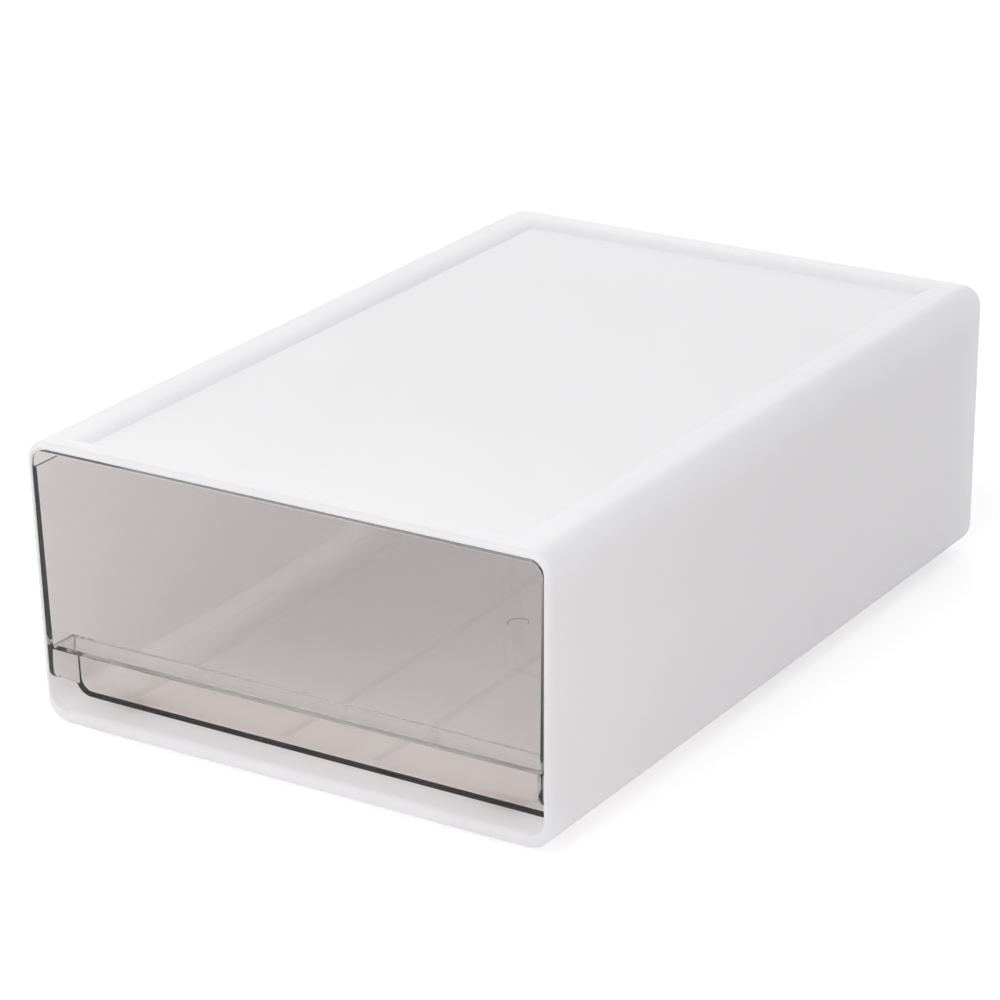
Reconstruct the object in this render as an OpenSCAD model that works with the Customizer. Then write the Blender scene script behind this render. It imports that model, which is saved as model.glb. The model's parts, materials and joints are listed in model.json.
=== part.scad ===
// Stackable drawer box: an opaque moulded sleeve with a snapped-in back, a clear one-piece drawer that
// slides out of its front, and four pads that stand in the shallow recess on top of the box below.
// Millimetres. +X is the right side, the front faces -Y, +Z is up. The origin is on the ground, under the
// centre of the box.

/* [Case] */
// Width of the case at its top
case_w = 250; // [220:1:320]
// How far each side of the case leans out from its underside to its top
side_draft = 2.25; // [0.5:0.05:4]
// Depth of the case, front rim to rear rim
case_d = 365; // [320:1:420]
// Height of the case without its feet
case_h = 124; // [110:1:170]
// Wall of the case
wall = 2.5; // [2:0.1:3]
// Outer radius of the long top edges
top_corner_r = 9; // [7:0.5:14]
// Outer radius of the long bottom edges
bottom_corner_r = 10.8; // [9:0.2:16]
// Radius of the outer edges of the front and rear rims
rim_r = 2.4; // [0.5:0.1:2.8]
// Thickness of the case above its mouth
mouth_top_wall = 2.5; // [2.5:0.1:3.5]

/* [Stacking recess] */
// Depth of the recess in the top
recess_depth = 2.5; // [2:0.1:4]
// Flat border left at each side of the recess
recess_side_border = 16; // [14:0.5:24]
// Flat border left in front of the recess
recess_front_border = 6.5; // [4:0.5:12]
// Flat border left behind the recess
recess_back_border = 10.5; // [6:0.5:16]
// Width of the rounded slope along the sides of the recess
recess_side_slope = 7.5; // [5:0.5:10]
// Width of the rounded slope along the front of the recess
recess_front_slope = 6.5; // [5:0.5:10]
// Width of the rounded slope along the back of the recess
recess_back_slope = 7.5; // [5:0.5:12]

/* [Front sill and rails] */
// Height of the sill above the underside of the case
sill_h = 5.7; // [4.5:0.1:8]
// Depth of the sill, front to back
sill_depth = 25; // [22:1:40]
// Radius of the sill's front top edge
sill_nose_r = 3.5; // [1:0.5:4]
// Width of each glide rail on the case floor
rail_w = 3; // [2:0.5:8]
// Distance of the inner pair of rails from the middle
rail_inner_x = 22.5; // [15:0.5:40]
// Distance of the outer pair of rails from the middle
rail_outer_x = 98.5; // [80:0.5:104]
// Depth of the hollow under the sill, front to back
sill_hollow_depth = 18; // [6:1:18]
// Width of the hollow under the sill
sill_hollow_w = 150; // [80:1:160]

/* [Drawer] */
// Distance between the closed drawer and the rear rim of the case
rear_room = 19; // [17:1:60]
// Distance from the ceiling of the case down to the rim of the drawer
rim_drop = 6.6; // [5.5:0.1:30]
// Gap between the drawer and the case at each side
side_gap = 0.4; // [0.3:0.1:1]
// Gap between the drawer and what it slides on
glide_gap = 0.3; // [0.2:0.1:0.6]
// Thickness of the side walls at their foot
side_t_bottom = 2.4; // [1.6:0.1:3.2]
// Thickness of the side walls at their rim
side_t_top = 1.2; // [0.8:0.1:1.6]
// Thickness of the drawer floor
floor_t = 2; // [1.4:0.1:3]
// Radius of the fillet where the floor meets the lower front wall
floor_fillet_r = 0.6; // [0.4:0.1:6]
// Thickness of the rear wall
rear_wall_t = 2.2; // [1.6:0.1:3]
// Diameter of the round gate mark under the floor
gate_mark_d = 9; // [5:0.5:14]
// Depth of the round gate mark
gate_mark_depth = 0.5; // [0.2:0.1:0.8]

/* [Drawer front] */
// Thickness of the front panel
panel_t = 2.4; // [1.8:0.1:3.2]
// Gap between the top of the front panel and the case
panel_top_gap = 1.3; // [0.4:0.1:2]
// Radius of the top front edge of the front panel
panel_top_r = 0.3; // [0.2:0.1:1.6]
// Radius of the lower front edge of the front panel
panel_foot_r = 1; // [0.3:0.1:1.6]
// Height of the ledge's underside above the drawer's underside
ledge_h = 26.5; // [20:0.1:40]
// Thickness of the ledge
ledge_t = 1.8; // [1.4:0.1:3]
// Radius of the ledge's rear edge, inside the drawer
ledge_back_r = 2.4; // [0.5:0.1:3]
// Radius of the corner under the ledge, at the back of the finger space
pull_corner_r = 0.6; // [0.3:0.1:1.5]
// Depth of the finger space under the ledge
pull_depth = 16; // [12:0.5:20]
// Thickness of the lower front wall
lower_wall_t = 1.9; // [1.4:0.1:3]
// Height of the front edge of the side walls below the ledge
end_edge_h = 9; // [4:0.5:12]
// Radius of the lower front corner of the side walls
end_corner_r = 5; // [2:0.5:7]

/* [Drawer stops] */
// Distance of the stop ribs behind the front of the case
stop_rib_setback = 55; // [40:1:90]
// Thickness of each stop rib, front to back
stop_rib_t = 3; // [2:0.5:5]
// Height that each stop rib hangs down from the ceiling
stop_rib_h = 3.6; // [3:0.1:4.5]
// Width of each stop rib and of each lug that meets it
stop_w = 20; // [12:1:30]
// Distance of the stops from the middle
stop_x = 70; // [50:1:90]
// Gap above the lugs
lug_top_gap = 0.6; // [0.4:0.1:1.2]

/* [Back panel] */
// Thickness of the back panel
back_t = 2.4; // [2:0.1:3.5]
// Distance of the back panel inside the rear rim
back_inset = 1; // [0.5:0.1:3]
// Depth of the skirt that holds the back panel in the case
skirt_depth = 8; // [7:0.5:10]
// Thickness of the skirt
skirt_t = 2; // [1.6:0.1:2.6]
// Gap between the back panel and the case
back_gap = 0.15; // [0.1:0.05:0.3]
// Radius of the snap beads on the skirt
bead_r = 1; // [0.8:0.1:1.2]
// Length of each snap bead
bead_length = 30; // [15:1:40]
// How far the beads stand out of the skirt
bead_proud = 0.5; // [0.3:0.1:0.6]
// Distance of the top and bottom beads from the middle
bead_x = 60; // [40:1:80]

/* [Feet] */
// Diameter of each foot pad
foot_d = 16; // [12:0.5:24]
// Gap between the case and the case of the box below, when they are stacked
stack_gap = 0.5; // [0.3:0.1:2]
// Depth of the seat that holds each pad
foot_seat_depth = 1; // [0.6:0.1:1.4]
// Gap around each pad in its seat
foot_seat_gap = 0.2; // [0.1:0.05:0.4]
// Gap between the pads and the slope of the recess that they stand in
foot_clearance = 1; // [0.5:0.5:6]
// Chamfer at the bottom edge of each pad
foot_chamfer = 0.8; // [0.4:0.1:1.2]

/* [Hidden] */
$fn = 96;
beyond = 1;                                   // how far a cut runs past a face that it opens
join = 0.005;                                 // how far an arc runs past the faces it meets, so that they cross

foot_proud = recess_depth + stack_gap;
case_front = -case_d / 2;
case_rear = case_d / 2;
case_bottom = foot_proud;
case_top = case_bottom + case_h;
lean = atan(side_draft / case_h);               // of each side, in degrees
ceiling_z = case_top - recess_depth - wall;
mouth_top = case_top - mouth_top_wall;
mouth_depth = panel_t + glide_gap;
sill_top = case_bottom + sill_h;
floor_top = case_bottom + wall;
rim_round = min(rim_r, wall - 0.1);
inner_top_r = top_corner_r - wall;
inner_bottom_r = bottom_corner_r - wall;

drawer_inset = wall + side_gap;
drawer_half_w = side_x(case_top, drawer_inset);
drawer_corner_r = inner_bottom_r - glide_gap;
drawer_bottom = sill_top + glide_gap;
drawer_rear = case_rear - rear_room;
side_top = ceiling_z - rim_drop;
tray_floor = drawer_bottom + floor_t;
ledge_bottom = drawer_bottom + ledge_h;
ledge_top = ledge_bottom + ledge_t;
panel_top = mouth_top - panel_top_gap;
panel_corner_r = inner_top_r - side_gap;
lower_front = case_front + pull_depth;
lower_inside = lower_front + lower_wall_t;

stop_rib_y = case_front + stop_rib_setback;

back_outer = case_rear - back_inset;
back_inner = back_outer - back_t;
skirt_front = back_inner - skirt_depth;
bead_y = back_inner - skirt_depth / 2;
bead_groove_r = bead_r + back_gap;

recess_half_w = case_w / 2 - recess_side_border;
recess_floor_half_w = recess_half_w - recess_side_slope;
recess_front = case_front + recess_front_border;
recess_floor_front = recess_front + recess_front_slope;
recess_back = case_rear - recess_back_border;
recess_floor_back = recess_back - recess_back_slope;

foot_inset = foot_clearance + foot_d / 2;
foot_x = recess_floor_half_w - foot_inset;
foot_front_y = recess_floor_front + foot_inset;
foot_rear_y = recess_floor_back - foot_inset;

// Radius of an arc that starts level and drops by depth over width.
function slope_r(width, depth) = (width * width + depth * depth) / (2 * depth);

// Half width at height z of what lies inset from the leaning outer sides of the case.
function side_x(z, inset = 0) = case_w / 2 - (case_top - z) * tan(lean) - inset / cos(lean);

// Centre of a round corner of radius r at height z, in a section that lies inset from the outer sides.
function corner_x(z, inset, r) = side_x(z, inset + r);

// Extrudes a section drawn in X and Z from y0 to y1.
module along_y(y0, y1) {
    translate([0, y1, 0]) rotate([90, 0, 0]) linear_extrude(y1 - y0) children();
}

// Extrudes a section drawn in Y and Z from x0 to x1.
module along_x(x0, x1) {
    translate([x0, 0, 0]) rotate([90, 0, 90]) linear_extrude(x1 - x0) children();
}

// Section from z0 to z1 with leaning sides, inset from the outer sides of the case, and with one radius
// for its top corners and one for its bottom corners.
module leaning_section(inset, z0, z1, top_r, bottom_r) {
    low_x = side_x(case_bottom, inset);
    high_x = side_x(case_top, inset);
    difference() {
        intersection() {
            polygon([[-low_x, case_bottom], [low_x, case_bottom], [high_x, case_top], [-high_x, case_top]]);
            translate([-case_w, z0]) square([2 * case_w, z1 - z0]);
        }
        for (flip = [0, 1]) mirror([flip, 0]) {
            translate([corner_x(z1 - top_r, inset, top_r), z1 - top_r])
                difference() {
                    square(top_r + beyond);
                    circle(r = top_r + join);
                }
            translate([corner_x(z0 + bottom_r, inset, bottom_r), z0 + bottom_r])
                difference() {
                    translate([0, -bottom_r - beyond]) square(bottom_r + beyond);
                    circle(r = bottom_r + join);
                }
        }
    }
}

// Inside of the case at the back, which the back panel also follows; gap shrinks it all round.
module cavity_section(gap = 0) {
    leaning_section(wall + gap, floor_top + gap, ceiling_z - gap, inner_top_r - gap, inner_bottom_r - gap);
}

// Hollow section between two walls that slope in to the recess floor as rounded shoulders.
module shoulder_section(low, high, low_slope, high_slope) {
    low_r = slope_r(low_slope, recess_depth);
    high_r = slope_r(high_slope, recess_depth);
    difference() {
        translate([low, case_top - recess_depth]) square([high - low, recess_depth + beyond]);
        translate([low, case_top - low_r]) circle(r = low_r, $fn = 180);
        translate([high, case_top - high_r]) circle(r = high_r, $fn = 180);
    }
}

// Cut that leaves the shallow recess in the top.
module stacking_recess() {
    intersection() {
        along_y(recess_front, recess_back)
            shoulder_section(-recess_half_w, recess_half_w, recess_side_slope, recess_side_slope);
        along_x(-recess_half_w, recess_half_w)
            shoulder_section(recess_front, recess_back, recess_front_slope, recess_back_slope);
    }
}

// Room inside the case: the mouth that takes the front panel, the throat above the sill and the long
// cavity behind it.
module case_cavity() {
    along_y(case_front - beyond, case_front + mouth_depth)
        leaning_section(wall, sill_top, mouth_top, inner_top_r, inner_bottom_r);
    along_y(case_front - beyond, case_front + sill_depth + beyond)
        leaning_section(wall, sill_top, ceiling_z, inner_top_r, inner_bottom_r);
    along_y(case_front + sill_depth, case_rear + beyond) cavity_section();
}

// Cut that rounds the sill's front top edge between the side walls.
module sill_nose_cut() {
    nose_x = corner_x(sill_top + inner_bottom_r, wall, inner_bottom_r);
    along_x(-nose_x, nose_x)
        difference() {
            translate([case_front - beyond, sill_top - sill_nose_r])
                square([sill_nose_r + beyond, sill_nose_r + beyond]);
            translate([case_front + sill_nose_r, sill_top - sill_nose_r]) circle(r = sill_nose_r);
        }
}

module glide_rails() {
    for (x = [-rail_outer_x, -rail_inner_x, rail_inner_x, rail_outer_x])
        translate([x - rail_w / 2, case_front + sill_depth - beyond, floor_top - wall / 2])
            cube([rail_w, skirt_front - back_gap - case_front - sill_depth + beyond,
                  sill_top - floor_top + wall / 2]);
}

module stop_ribs() {
    for (side = [-1, 1])
        translate([side * stop_x - stop_w / 2, stop_rib_y, ceiling_z - stop_rib_h])
            cube([stop_w, stop_rib_t, stop_rib_h + wall / 2]);
}

// Round ridges that hold the back panel; r is the bead's radius, or its groove's.
module snap_ridges(r, length) {
    ridge_z = (floor_top + ceiling_z) / 2;
    ridge_x = side_x(ridge_z, wall + back_gap + bead_r - bead_proud);
    ridge_top = ceiling_z - back_gap - bead_r + bead_proud;
    ridge_bottom = floor_top + back_gap + bead_r - bead_proud;
    for (side = [-1, 1]) {
        translate([side * ridge_x, bead_y, ridge_z]) rotate([0, side * lean, 0])
            cylinder(r = r, h = length, center = true);
        for (z = [ridge_bottom, ridge_top])
            translate([side * bead_x - length / 2, bead_y, z]) rotate([0, 90, 0]) cylinder(r = r, h = length);
    }
}

module foot_places() {
    for (x = [-foot_x, foot_x], y = [foot_front_y, foot_rear_y]) translate([x, y, 0]) children();
}

// Rectangle with all four corners rounded.
module soft_rect(x0, x1, y0, y1, r) {
    translate([x0 + r, y0]) square([x1 - x0 - 2 * r, y1 - y0]);
    translate([x0, y0 + r]) square([x1 - x0, y1 - y0 - 2 * r]);
    for (x = [x0 + r, x1 - r], y = [y0 + r, y1 - r]) translate([x, y]) circle(r = r, $fn = 48);
}

// Long round corner of the case, with rounded ends.
module corner_bar(r) {
    translate([0, case_rear, 0]) rotate([90, 0, 0]) rotate_extrude()
        intersection() {
            soft_rect(-r, r, 0, case_d, rim_round);
            square([r, case_d]);
        }
}

// The case before it is hollowed: its long edges are round and so are the edges of both rims.
module case_block() {
    low_z = case_bottom + bottom_corner_r;
    high_z = case_top - top_corner_r;
    low_x = corner_x(low_z, 0, bottom_corner_r);
    high_x = corner_x(high_z, 0, top_corner_r);
    along_x(-high_x, high_x) soft_rect(case_front, case_rear, low_z, case_top, rim_round);
    along_x(-low_x, low_x) soft_rect(case_front, case_rear, case_bottom, high_z, rim_round);
    for (flip = [0, 1]) mirror([flip, 0, 0]) {
        translate([high_x, 0, high_z]) corner_bar(top_corner_r);
        translate([low_x, 0, low_z]) corner_bar(bottom_corner_r);
        translate([low_x, 0, low_z]) rotate([0, lean, 0])
            linear_extrude((high_x - low_x) * sin(lean) + (high_z - low_z) * cos(lean))
                soft_rect(0, bottom_corner_r - join, case_front, case_rear, rim_round + 10 * join);
    }
}

module case_shell() {
    color("whitesmoke")
    union() {
        difference() {
            case_block();
            case_cavity();
            sill_nose_cut();
            stacking_recess();
            snap_ridges(bead_groove_r, bead_length + 2 * back_gap);
            foot_places()
                translate([0, 0, case_bottom - beyond])
                    cylinder(d = foot_d + 2 * foot_seat_gap, h = foot_seat_depth + beyond);
            translate([-sill_hollow_w / 2, case_front + (sill_depth - sill_hollow_depth) / 2,
                       case_bottom - beyond])
                cube([sill_hollow_w, sill_hollow_depth, sill_h - wall + beyond]);
        }
        glide_rails();
        stop_ribs();
    }
}

module back_panel() {
    color("white")
    union() {
        along_y(back_inner, back_outer) cavity_section(back_gap);
        difference() {
            union() {
                along_y(skirt_front, back_inner + back_t / 2) cavity_section(back_gap);
                snap_ridges(bead_r, bead_length);
            }
            along_y(skirt_front - beyond, back_inner) cavity_section(back_gap + skirt_t);
        }
    }
}

// Section of the room inside the drawer: its sides lean, so that the walls thin towards the rim.
module tray_section() {
    corner_r = drawer_corner_r - floor_t;
    lean_start = tray_floor + corner_r;
    top_half_w = side_x(side_top + beyond, drawer_inset + side_t_top);
    bottom_half_w = side_x(tray_floor, drawer_inset + side_t_bottom);
    slope = (top_half_w - bottom_half_w) / (side_top + beyond - tray_floor);
    corner_half_w = bottom_half_w + corner_r * (slope - sqrt(1 + slope * slope));
    difference() {
        polygon([[-bottom_half_w, tray_floor], [bottom_half_w, tray_floor],
                 [top_half_w, side_top + beyond], [-top_half_w, side_top + beyond]]);
        for (flip = [0, 1]) mirror([flip, 0]) translate([corner_half_w, lean_start])
            difference() {
                translate([0, -corner_r - beyond]) square(corner_r + beyond);
                circle(r = corner_r + join);
            }
    }
}

// The tray as a solid block: outer sides, rounded long edges, straight ends.
module tray_block(y0, y1) {
    along_y(y0, y1)
        difference() {
            leaning_section(drawer_inset, drawer_bottom, side_top + 2 * drawer_corner_r, drawer_corner_r,
                            drawer_corner_r);
            translate([-drawer_half_w - beyond, side_top])
                square([2 * (drawer_half_w + beyond), 2 * drawer_corner_r + beyond]);
        }
}

// What is cut away below the ledge: the finger space between the side walls, with the round lower edge
// of the front panel, and the lower front corner that slopes back to the underside at each end.
module pull_space() {
    low = drawer_bottom - beyond;
    high = ledge_bottom + panel_foot_r;
    low_x = side_x(low, drawer_inset + side_t_bottom);
    high_x = side_x(high, drawer_inset + side_t_bottom);
    intersection() {
        along_y(case_front - beyond, lower_front)
            polygon([[-low_x, low], [low_x, low], [high_x, high], [-high_x, high]]);
        along_x(-drawer_half_w, drawer_half_w) {
            translate([case_front - beyond, low])
                square([pull_depth + beyond, ledge_bottom - pull_corner_r - low]);
            translate([case_front - beyond, low])
                square([pull_depth + beyond - pull_corner_r, ledge_bottom - low]);
            translate([lower_front - pull_corner_r, ledge_bottom - pull_corner_r]) circle(r = pull_corner_r);
            difference() {
                translate([case_front - beyond, ledge_bottom - beyond])
                    square([panel_foot_r + beyond, panel_foot_r + beyond]);
                translate([case_front + panel_foot_r, ledge_bottom + panel_foot_r]) circle(r = panel_foot_r);
            }
        }
    }
    edge_bottom = ledge_bottom - end_edge_h;
    along_x(-drawer_half_w - beyond, drawer_half_w + beyond)
        difference() {
            polygon([[case_front - beyond, low], [case_front - beyond, edge_bottom],
                     [case_front, edge_bottom], [case_front + end_corner_r, edge_bottom - end_corner_r],
                     [lower_front, drawer_bottom + end_corner_r], [lower_front, low]]);
            translate([case_front + end_corner_r, edge_bottom]) circle(r = end_corner_r);
        }
}

// Room in the drawer: behind the lower front wall it reaches the floor, above the ledge it reaches the
// front panel.
module tray_room() {
    difference() {
        along_y(case_front + panel_t, drawer_rear - rear_wall_t) tray_section();
        along_x(-drawer_half_w, drawer_half_w) {
            translate([case_front, drawer_bottom - beyond])
                square([pull_depth + lower_wall_t, ledge_top - ledge_back_r - drawer_bottom + beyond]);
            translate([case_front, drawer_bottom - beyond])
                square([pull_depth + lower_wall_t - ledge_back_r, ledge_top - drawer_bottom + beyond]);
            translate([lower_inside - ledge_back_r, ledge_top - ledge_back_r]) circle(r = ledge_back_r);
        }
        along_x(-drawer_half_w, drawer_half_w)
            difference() {
                translate([lower_inside - beyond, tray_floor - beyond])
                    square([floor_fillet_r + beyond, floor_fillet_r + beyond]);
                translate([lower_inside + floor_fillet_r, tray_floor + floor_fillet_r])
                    circle(r = floor_fillet_r);
            }
    }
}

// The front panel, with its top front edge rounded.
module front_panel() {
    difference() {
        along_y(case_front, case_front + panel_t)
            difference() {
                leaning_section(drawer_inset, ledge_bottom - 2 * panel_corner_r, panel_top, panel_corner_r,
                                panel_corner_r);
                translate([-drawer_half_w - beyond, ledge_bottom - 2 * panel_corner_r - beyond])
                    square([2 * (drawer_half_w + beyond), 2 * panel_corner_r + beyond]);
            }
        edge_x = corner_x(panel_top - panel_corner_r, drawer_inset, panel_corner_r);
        along_x(-edge_x, edge_x)
            difference() {
                translate([case_front - beyond, panel_top - panel_top_r])
                    square([panel_top_r + beyond, panel_top_r + beyond]);
                translate([case_front + panel_top_r, panel_top - panel_top_r]) circle(r = panel_top_r);
            }
    }
}

module stop_lugs() {
    for (side = [-1, 1])
        translate([side * stop_x - stop_w / 2, drawer_rear - rear_wall_t, side_top - floor_t])
            cube([stop_w, rear_wall_t, ceiling_z - lug_top_gap - side_top + floor_t]);
}

module drawer() {
    color([0.72, 0.70, 0.69, 0.45])
    difference() {
        union() {
            difference() {
                union() {
                    tray_block(case_front, drawer_rear);
                    front_panel();
                }
                tray_room();
                pull_space();
            }
            stop_lugs();
        }
        translate([0, (case_front + drawer_rear) / 2, drawer_bottom - beyond])
            cylinder(d = gate_mark_d, h = gate_mark_depth + beyond);
    }
}

module foot(x, y) {
    color("lightgray")
    translate([x, y, 0])
        rotate_extrude()
            polygon([[0, 0], [foot_d / 2 - foot_chamfer, 0], [foot_d / 2, foot_chamfer],
                     [foot_d / 2, foot_proud + foot_seat_depth], [0, foot_proud + foot_seat_depth]]);
}

case_shell();  // case
back_panel();
drawer();
foot(-foot_x, foot_front_y);  // foot_front_left
foot(foot_x, foot_front_y);  // foot_front_right
foot(-foot_x, foot_rear_y);  // foot_rear_left
foot(foot_x, foot_rear_y);  // foot_rear_right
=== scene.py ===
import json
import math

import bmesh
import bpy
from mathutils import Matrix, Vector


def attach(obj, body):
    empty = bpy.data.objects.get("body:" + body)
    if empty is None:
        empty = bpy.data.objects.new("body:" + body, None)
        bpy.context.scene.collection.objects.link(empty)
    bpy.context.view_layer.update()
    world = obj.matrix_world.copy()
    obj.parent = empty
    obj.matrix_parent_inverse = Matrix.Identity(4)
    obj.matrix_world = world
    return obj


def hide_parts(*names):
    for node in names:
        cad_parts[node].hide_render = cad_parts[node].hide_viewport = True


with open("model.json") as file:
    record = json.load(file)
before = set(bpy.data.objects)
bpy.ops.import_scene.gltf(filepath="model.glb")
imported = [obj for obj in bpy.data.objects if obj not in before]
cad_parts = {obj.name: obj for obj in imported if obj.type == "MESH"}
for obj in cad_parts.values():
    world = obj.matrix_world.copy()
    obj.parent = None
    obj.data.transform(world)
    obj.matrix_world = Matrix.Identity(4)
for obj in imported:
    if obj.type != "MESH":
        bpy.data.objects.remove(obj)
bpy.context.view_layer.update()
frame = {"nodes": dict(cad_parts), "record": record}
nodes = frame["nodes"]
print("drawer box: frame loaded,", len(nodes), "nodes")

# Metres, degrees and watts throughout.
view = {
    "target": (0.0, 0.0, 0.065),  # centre of the case
    "azimuth": 33.119,
    "elevation": 21.489,
    "roll": -1.201,
    "across": 0.012896,  # how far the target stands off the picture's centre
    "up": 0.002367,
    "distance": 1.599867,
    "lens": 133.7,  # millimetres, as is the sensor
    "sensor": 36.0,
    "nearest": 0.05,
    "farthest": 30.0,
}

light = {
    "ambient": (0.54, 0.535, 0.54, 1.0),
    "background": (1.0, 1.0, 1.0, 1.0),
    "keyPlace": (-1.5, 2.0, 1.25),
    "keySize": 2.1,
    "keyPower": 14.0,
    "frontPlace": (-0.1, -1.25, 1.6),
    "frontSize": 1.4,
    "frontPower": 12.2,
    "sidePlace": (2.1, 0.1, 0.5),
    "sideSize": 1.4,
    "sidePower": 2.4,
}

paper = {
    "halfWidth": 6.0,
    "colour": "#ffffff",
    "roughness": 0.95,
    "lift": 0.11,  # only as background, also where a piece mirrors or bends it
    "burn": 0.2,  # on top of it for the camera, so that the paper is white round the soft shadow
}

caseFinish = {
    "colour": "#fcfcfd",
    "shade": "#fbfbfc",
    "cloudScale": 9.0,
    "cloudDetail": 2.0,
    "shadeEnd": 0.35,
    "colourStart": 0.65,
    "grainScale": 2500.0,
    "grainDetail": 1.0,
    "smoothest": 0.36,
    "roughest": 0.46,
    "bump": 0.06,
    "bumpHeight": 0.0001,
    "ior": 1.52,
    "through": 0.355,  # share of the light at a face that goes on into the wall
}

drawerFinish = {
    "edge": 0.0003,
    "edgeSegments": 2,
    "shortest": 0.0002,  # the fine steps of the tool's own roundings stay as they are
    "sharpest": 32.0,  # an edge that turns by more than this gets the mould's radius
    "flattest": 0.3,  # faces that turn by less than this are one
    "weld": 0.000002,
    "colour": "#fffefe",
    "passing": "#fefbf9",  # what soft light keeps at each face
    "smoke": "#7f7f7c",
    "density": 13.0,  # with the smoke's colour, a plate of 2.4 mm takes about 2.5% of the light
    "roughness": 0.02,
    "ior": 1.59,
    "flowScale": 14.0,
    "flowDetail": 1.0,
    "bump": 0.03,
    "bumpHeight": 0.001,
}

footFinish = {
    "colour": "#8f8f90",
    "dust": "#a4a4a4",
    "speckScale": 1400.0,
    "speckDetail": 3.0,
    "colourEnd": 0.45,
    "dustStart": 0.7,
    "bump": 0.2,
    "bumpHeight": 0.0002,
    "roughness": 0.75,
}

# A ray inside the clear plates is mirrored many times before it gets out at an edge.
bounces = {"all": 96, "diffuse": 40, "glossy": 96, "transmission": 96}


def linearColour(hexText):
    # sRGB hex to the linear values that a shader takes
    parts = [int(hexText[i : i + 2], 16) / 255 for i in (1, 3, 5)]
    return [p / 12.92 if p <= 0.04045 else ((p + 0.055) / 1.055) ** 2.4 for p in parts] + [1.0]


def addNode(tree, kind, settings=None, values=None, links=None):
    node = tree.nodes.new(kind)
    for name, value in (settings or {}).items():
        setattr(node, name, value)
    for name, value in (values or {}).items():
        node.inputs[name].default_value = value
    for name, (source, output) in (links or {}).items():
        tree.links.new(source.outputs[output], node.inputs[name])
    return node


def newMaterial(name):
    material = bpy.data.materials.new(name)
    material.use_nodes = True
    return material, material.node_tree, material.node_tree.nodes["Principled BSDF"]


def addNoise(tree, scale, detail):
    coords = addNode(tree, "ShaderNodeTexCoord")
    values = {"Scale": scale, "Detail": detail}
    return addNode(tree, "ShaderNodeTexNoise", values=values, links={"Vector": (coords, "Object")})


def addRamp(tree, noise, firstPlace, firstColour, secondPlace, secondColour):
    ramp = addNode(tree, "ShaderNodeValToRGB", links={"Fac": (noise, "Fac")})
    first, second = ramp.color_ramp.elements
    first.position, first.color = firstPlace, linearColour(firstColour)
    second.position, second.color = secondPlace, linearColour(secondColour)
    return ramp


def addBump(tree, shader, noise, finish):
    values = {"Strength": finish["bump"], "Distance": finish["bumpHeight"]}
    bump = addNode(tree, "ShaderNodeBump", values=values, links={"Height": (noise, "Fac")})
    tree.links.new(bump.outputs["Normal"], shader.inputs["Normal"])


# The first shader where factor is 0, the second where it is 1.
def mixShaders(tree, first, second, share=None, factor=None):
    mix = addNode(tree, "ShaderNodeMixShader")
    if factor:
        tree.links.new(factor.outputs[0], mix.inputs["Fac"])
    else:
        mix.inputs["Fac"].default_value = share
    tree.links.new(first.outputs[0], mix.inputs[1])
    tree.links.new(second.outputs[0], mix.inputs[2])
    return mix


# White ABS, injection moulded in a finely spark-eroded tool: a soft sheen, even colour, and a grain of
# about 0.4 mm that only breaks the highlights. It isn't fully opaque: a wall of 2.5 mm lets some light
# through its two faces, so the inside glows softly.
def whiteAbs(name, finish):
    material, tree, shader = newMaterial(name)
    cloud = addNoise(tree, finish["cloudScale"], finish["cloudDetail"])
    ramp = addRamp(tree, cloud, finish["shadeEnd"], finish["shade"], finish["colourStart"], finish["colour"])
    grain = addNoise(tree, finish["grainScale"], finish["grainDetail"])
    gloss = addNode(
        tree,
        "ShaderNodeMapRange",
        values={"To Min": finish["smoothest"], "To Max": finish["roughest"]},
        links={"Value": (grain, "Fac")},
    )
    addBump(tree, shader, grain, finish)
    tree.links.new(ramp.outputs["Color"], shader.inputs["Base Color"])
    tree.links.new(gloss.outputs["Result"], shader.inputs["Roughness"])
    shader.inputs["IOR"].default_value = finish["ior"]
    glow = addNode(tree, "ShaderNodeBsdfTranslucent", links={"Color": (ramp, "Color")})
    mix = mixShaders(tree, shader, glow, share=finish["through"])
    tree.links.new(mix.outputs["Shader"], tree.nodes["Material Output"].inputs["Surface"])
    return material


# Clear polystyrene with a trace of grey smoke, moulded in a polished tool: it bends light at its edges,
# and what travels along the plates is swallowed, so the edges read dark. Soft light and the lamps' own
# light pass the plates straight, because bent light would reach the inside only as noise.
def clearPolystyrene(name, finish):
    material, tree, shader = newMaterial(name)
    flow = addNoise(tree, finish["flowScale"], finish["flowDetail"])
    addBump(tree, shader, flow, finish)
    shader.inputs["Base Color"].default_value = linearColour(finish["colour"])
    shader.inputs["Transmission Weight"].default_value = 1.0
    shader.inputs["Roughness"].default_value = finish["roughness"]
    shader.inputs["IOR"].default_value = finish["ior"]
    smokeValues = {"Color": linearColour(finish["smoke"]), "Density": finish["density"]}
    smoke = addNode(tree, "ShaderNodeVolumeAbsorption", values=smokeValues)
    passing = addNode(tree, "ShaderNodeBsdfTransparent", values={"Color": linearColour(finish["passing"])})
    path = addNode(tree, "ShaderNodeLightPath")
    soft = addNode(tree, "ShaderNodeMath", {"operation": "MAXIMUM"})
    tree.links.new(path.outputs["Is Shadow Ray"], soft.inputs[0])
    tree.links.new(path.outputs["Is Diffuse Ray"], soft.inputs[1])
    mix = mixShaders(tree, shader, passing, factor=soft)
    output = tree.nodes["Material Output"]
    tree.links.new(mix.outputs["Shader"], output.inputs["Surface"])
    tree.links.new(smoke.outputs["Volume"], output.inputs["Volume"])
    return material


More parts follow.
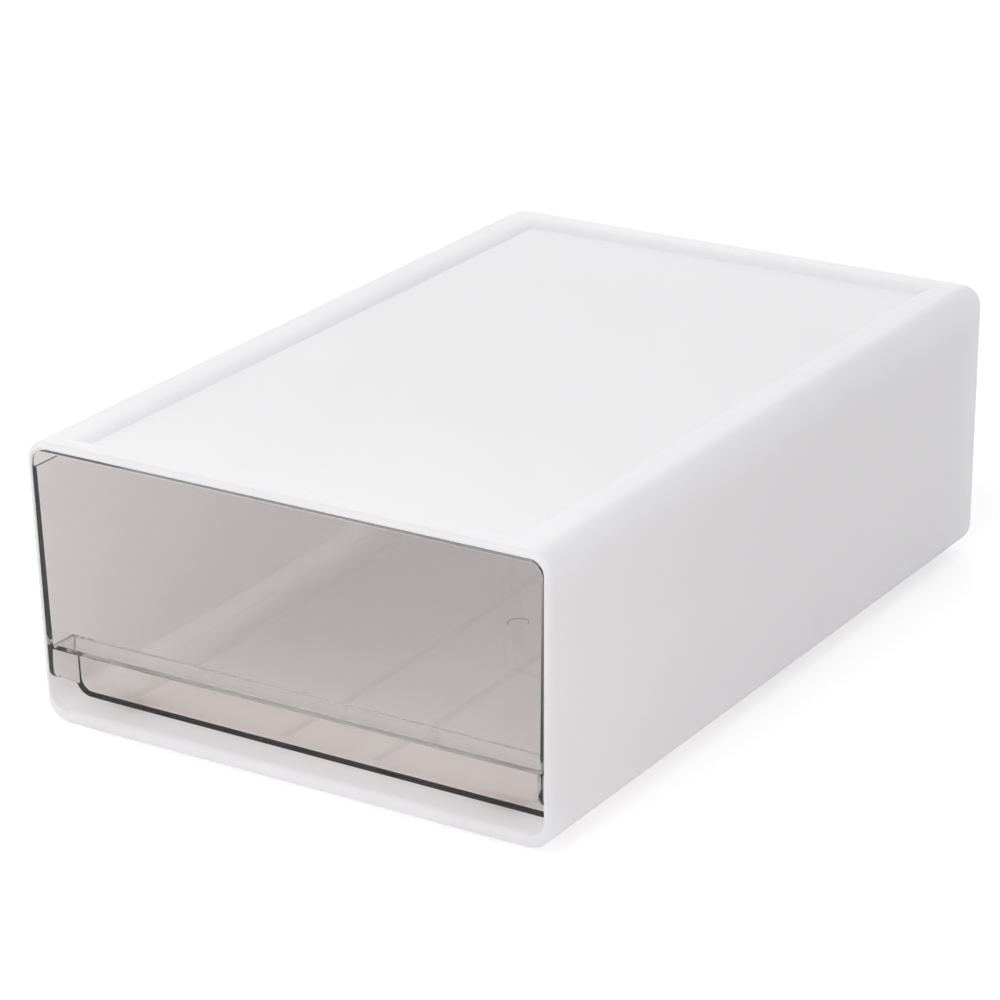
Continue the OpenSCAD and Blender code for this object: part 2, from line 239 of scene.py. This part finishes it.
# Soft grey elastomer pads, die cut: matt, a little speckled by dust.
def footRubber(name, finish):
    material, tree, shader = newMaterial(name)
    speck = addNoise(tree, finish["speckScale"], finish["speckDetail"])
    ramp = addRamp(tree, speck, finish["colourEnd"], finish["colour"], finish["dustStart"], finish["dust"])
    addBump(tree, shader, speck, finish)
    tree.links.new(ramp.outputs["Color"], shader.inputs["Base Color"])
    shader.inputs["Roughness"].default_value = finish["roughness"]
    return material


# A finished moulding from a node's solid: its edges get the small radius that a mould leaves.
def softMoulding(pieceName, nodeName, material, finish):
    mesh = bpy.data.meshes.new(pieceName)
    work = bmesh.new()
    work.from_mesh(nodes[nodeName].data)
    bmesh.ops.remove_doubles(work, verts=work.verts, dist=finish["weld"])
    bmesh.ops.dissolve_limit(
        work,
        angle_limit=math.radians(finish["flattest"]),
        verts=work.verts,
        edges=work.edges,
        use_dissolve_boundaries=False,
    )
    weight = work.edges.layers.float.new("bevel_weight_edge")
    for line in work.edges:
        creased = len(line.link_faces) == 2 and line.calc_face_angle() > math.radians(finish["sharpest"])
        line[weight] = 1.0 if creased and line.calc_length() > finish["shortest"] else 0.0
    work.to_mesh(mesh)
    work.free()
    mesh.materials.clear()
    mesh.materials.append(material)
    for face in mesh.polygons:
        face.material_index = 0
    for spare in ("custom_normal", "sharp_edge", "sharp_face"):
        if spare in mesh.attributes:
            mesh.attributes.remove(mesh.attributes[spare])
    mesh.shade_smooth()
    piece = bpy.data.objects.new(pieceName, mesh)
    bpy.context.scene.collection.objects.link(piece)
    bevel = piece.modifiers.new("mouldRadius", "BEVEL")
    bevel.width = finish["edge"]
    bevel.segments = finish["edgeSegments"]
    bevel.limit_method = "WEIGHT"
    bevel.use_clamp_overlap = False
    bevel.harden_normals = True
    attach(piece, bodyOf[nodeName])
    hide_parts(nodeName)
    print("drawer box:", pieceName, "made from", nodeName, len(mesh.polygons), "faces")


def makeCamera(settings):
    azimuth, elevation = math.radians(settings["azimuth"]), math.radians(settings["elevation"])
    level = math.cos(elevation)
    back = Vector((math.sin(azimuth) * level, -math.cos(azimuth) * level, math.sin(elevation)))
    right = Vector((0, 0, 1)).cross(back).normalized()
    turn = Matrix.Rotation(math.radians(settings["roll"]), 3, back)
    across, up = turn @ right, turn @ back.cross(right)
    place = (
        Vector(settings["target"])
        - across * settings["across"]
        - up * settings["up"]
        + back * settings["distance"]
    )
    lens = bpy.data.cameras.new("studioCamera")
    lens.lens = settings["lens"]
    lens.sensor_width = settings["sensor"]
    lens.clip_start, lens.clip_end = settings["nearest"], settings["farthest"]
    camera = bpy.data.objects.new("studioCamera", lens)
    bpy.context.scene.collection.objects.link(camera)
    camera.matrix_world = Matrix.Translation(place) @ Matrix((across, up, back)).transposed().to_4x4()
    bpy.context.scene.camera = camera


# 1 for the rays that look at the background: the camera's own, and those that a piece mirrors or bends.
def seenAsBackground(tree):
    path = addNode(tree, "ShaderNodeLightPath")
    direct = addNode(tree, "ShaderNodeMath", {"operation": "ADD", "use_clamp": True})
    tree.links.new(path.outputs["Is Camera Ray"], direct.inputs[0])
    tree.links.new(path.outputs["Is Glossy Ray"], direct.inputs[1])
    seen = addNode(tree, "ShaderNodeMath", {"operation": "ADD", "use_clamp": True})
    tree.links.new(direct.outputs[0], seen.inputs[0])
    tree.links.new(path.outputs["Is Transmission Ray"], seen.inputs[1])
    return seen


# Matt white studio paper under the box: it keeps the soft shadow and is white away from it.
def makeFloor(settings):
    material, tree, shader = newMaterial("matt white studio paper")
    shader.inputs["Base Color"].default_value = linearColour(settings["colour"])
    shader.inputs["Roughness"].default_value = settings["roughness"]
    lift = addNode(tree, "ShaderNodeMath", {"operation": "MULTIPLY"})
    tree.links.new(seenAsBackground(tree).outputs[0], lift.inputs[0])
    lift.inputs[1].default_value = settings["lift"]
    path = addNode(tree, "ShaderNodeLightPath")
    white = addNode(tree, "ShaderNodeMath", {"operation": "MULTIPLY_ADD"})
    tree.links.new(path.outputs["Is Camera Ray"], white.inputs[0])
    white.inputs[1].default_value = settings["burn"]
    tree.links.new(lift.outputs[0], white.inputs[2])
    tree.links.new(white.outputs[0], shader.inputs["Emission Strength"])
    mesh = bpy.data.meshes.new("studioFloor")
    work = bmesh.new()
    bmesh.ops.create_grid(work, x_segments=1, y_segments=1, size=settings["halfWidth"])
    work.to_mesh(mesh)
    work.free()
    mesh.materials.append(material)
    floor = bpy.data.objects.new("studioFloor", mesh)
    bpy.context.scene.collection.objects.link(floor)


def makeLamp(lampName, settings):
    lamp = bpy.data.lights.new(lampName + "Softbox", "AREA")
    lamp.shape = "DISK"
    lamp.size = settings[lampName + "Size"]
    lamp.energy = settings[lampName + "Power"]
    box = bpy.data.objects.new(lampName + "Softbox", lamp)
    box.location = settings[lampName + "Place"]
    box.rotation_mode = "QUATERNION"
    box.rotation_quaternion = (Vector(view["target"]) - box.location).to_track_quat("-Z", "Y")
    bpy.context.scene.collection.objects.link(box)


# An even room: grey as light on the box, white where it is looked at.
def makeWorld(settings):
    world = bpy.data.worlds.new("studioWorld")
    world.use_nodes = True
    bpy.context.scene.world = world
    tree = world.node_tree
    tree.nodes.clear()
    seen = seenAsBackground(tree)
    ambient = addNode(tree, "ShaderNodeBackground", values={"Color": settings["ambient"]})
    white = addNode(tree, "ShaderNodeBackground", values={"Color": settings["background"]})
    mix = mixShaders(tree, ambient, white, factor=seen)
    addNode(tree, "ShaderNodeOutputWorld", links={"Surface": (mix, 0)})


record = frame["record"]
slotOf = {entry["node"]: entry["material_slot"] for entry in record["subparts"]}
bodyOf = {node: body for body, members in record["behaviour"]["bodies"].items() for node in members}

bpy.context.scene.view_settings.view_transform = "Standard"
cycles = bpy.context.scene.cycles
cycles.max_bounces = bounces["all"]
cycles.diffuse_bounces = bounces["diffuse"]
cycles.glossy_bounces = bounces["glossy"]
cycles.transmission_bounces = bounces["transmission"]

makeCamera(view)
makeFloor(paper)
for lampName in ("key", "front", "side"):
    makeLamp(lampName, light)
makeWorld(light)
print("drawer box: camera and studio stand")

finishOf = {
    "case_white": whiteAbs("white ABS, satin moulded", caseFinish),
    "clear_smoke": clearPolystyrene("clear polystyrene, smoky", drawerFinish),
    "foot_rubber": footRubber("grey elastomer, die cut", footFinish),
}

softMoulding("clearDrawer", "drawer", finishOf[slotOf["drawer"]], drawerFinish)

for name, solid in nodes.items():
    solid.data.materials.clear()
    solid.data.materials.append(finishOf[slotOf[name]])
print("drawer box: materials are on")
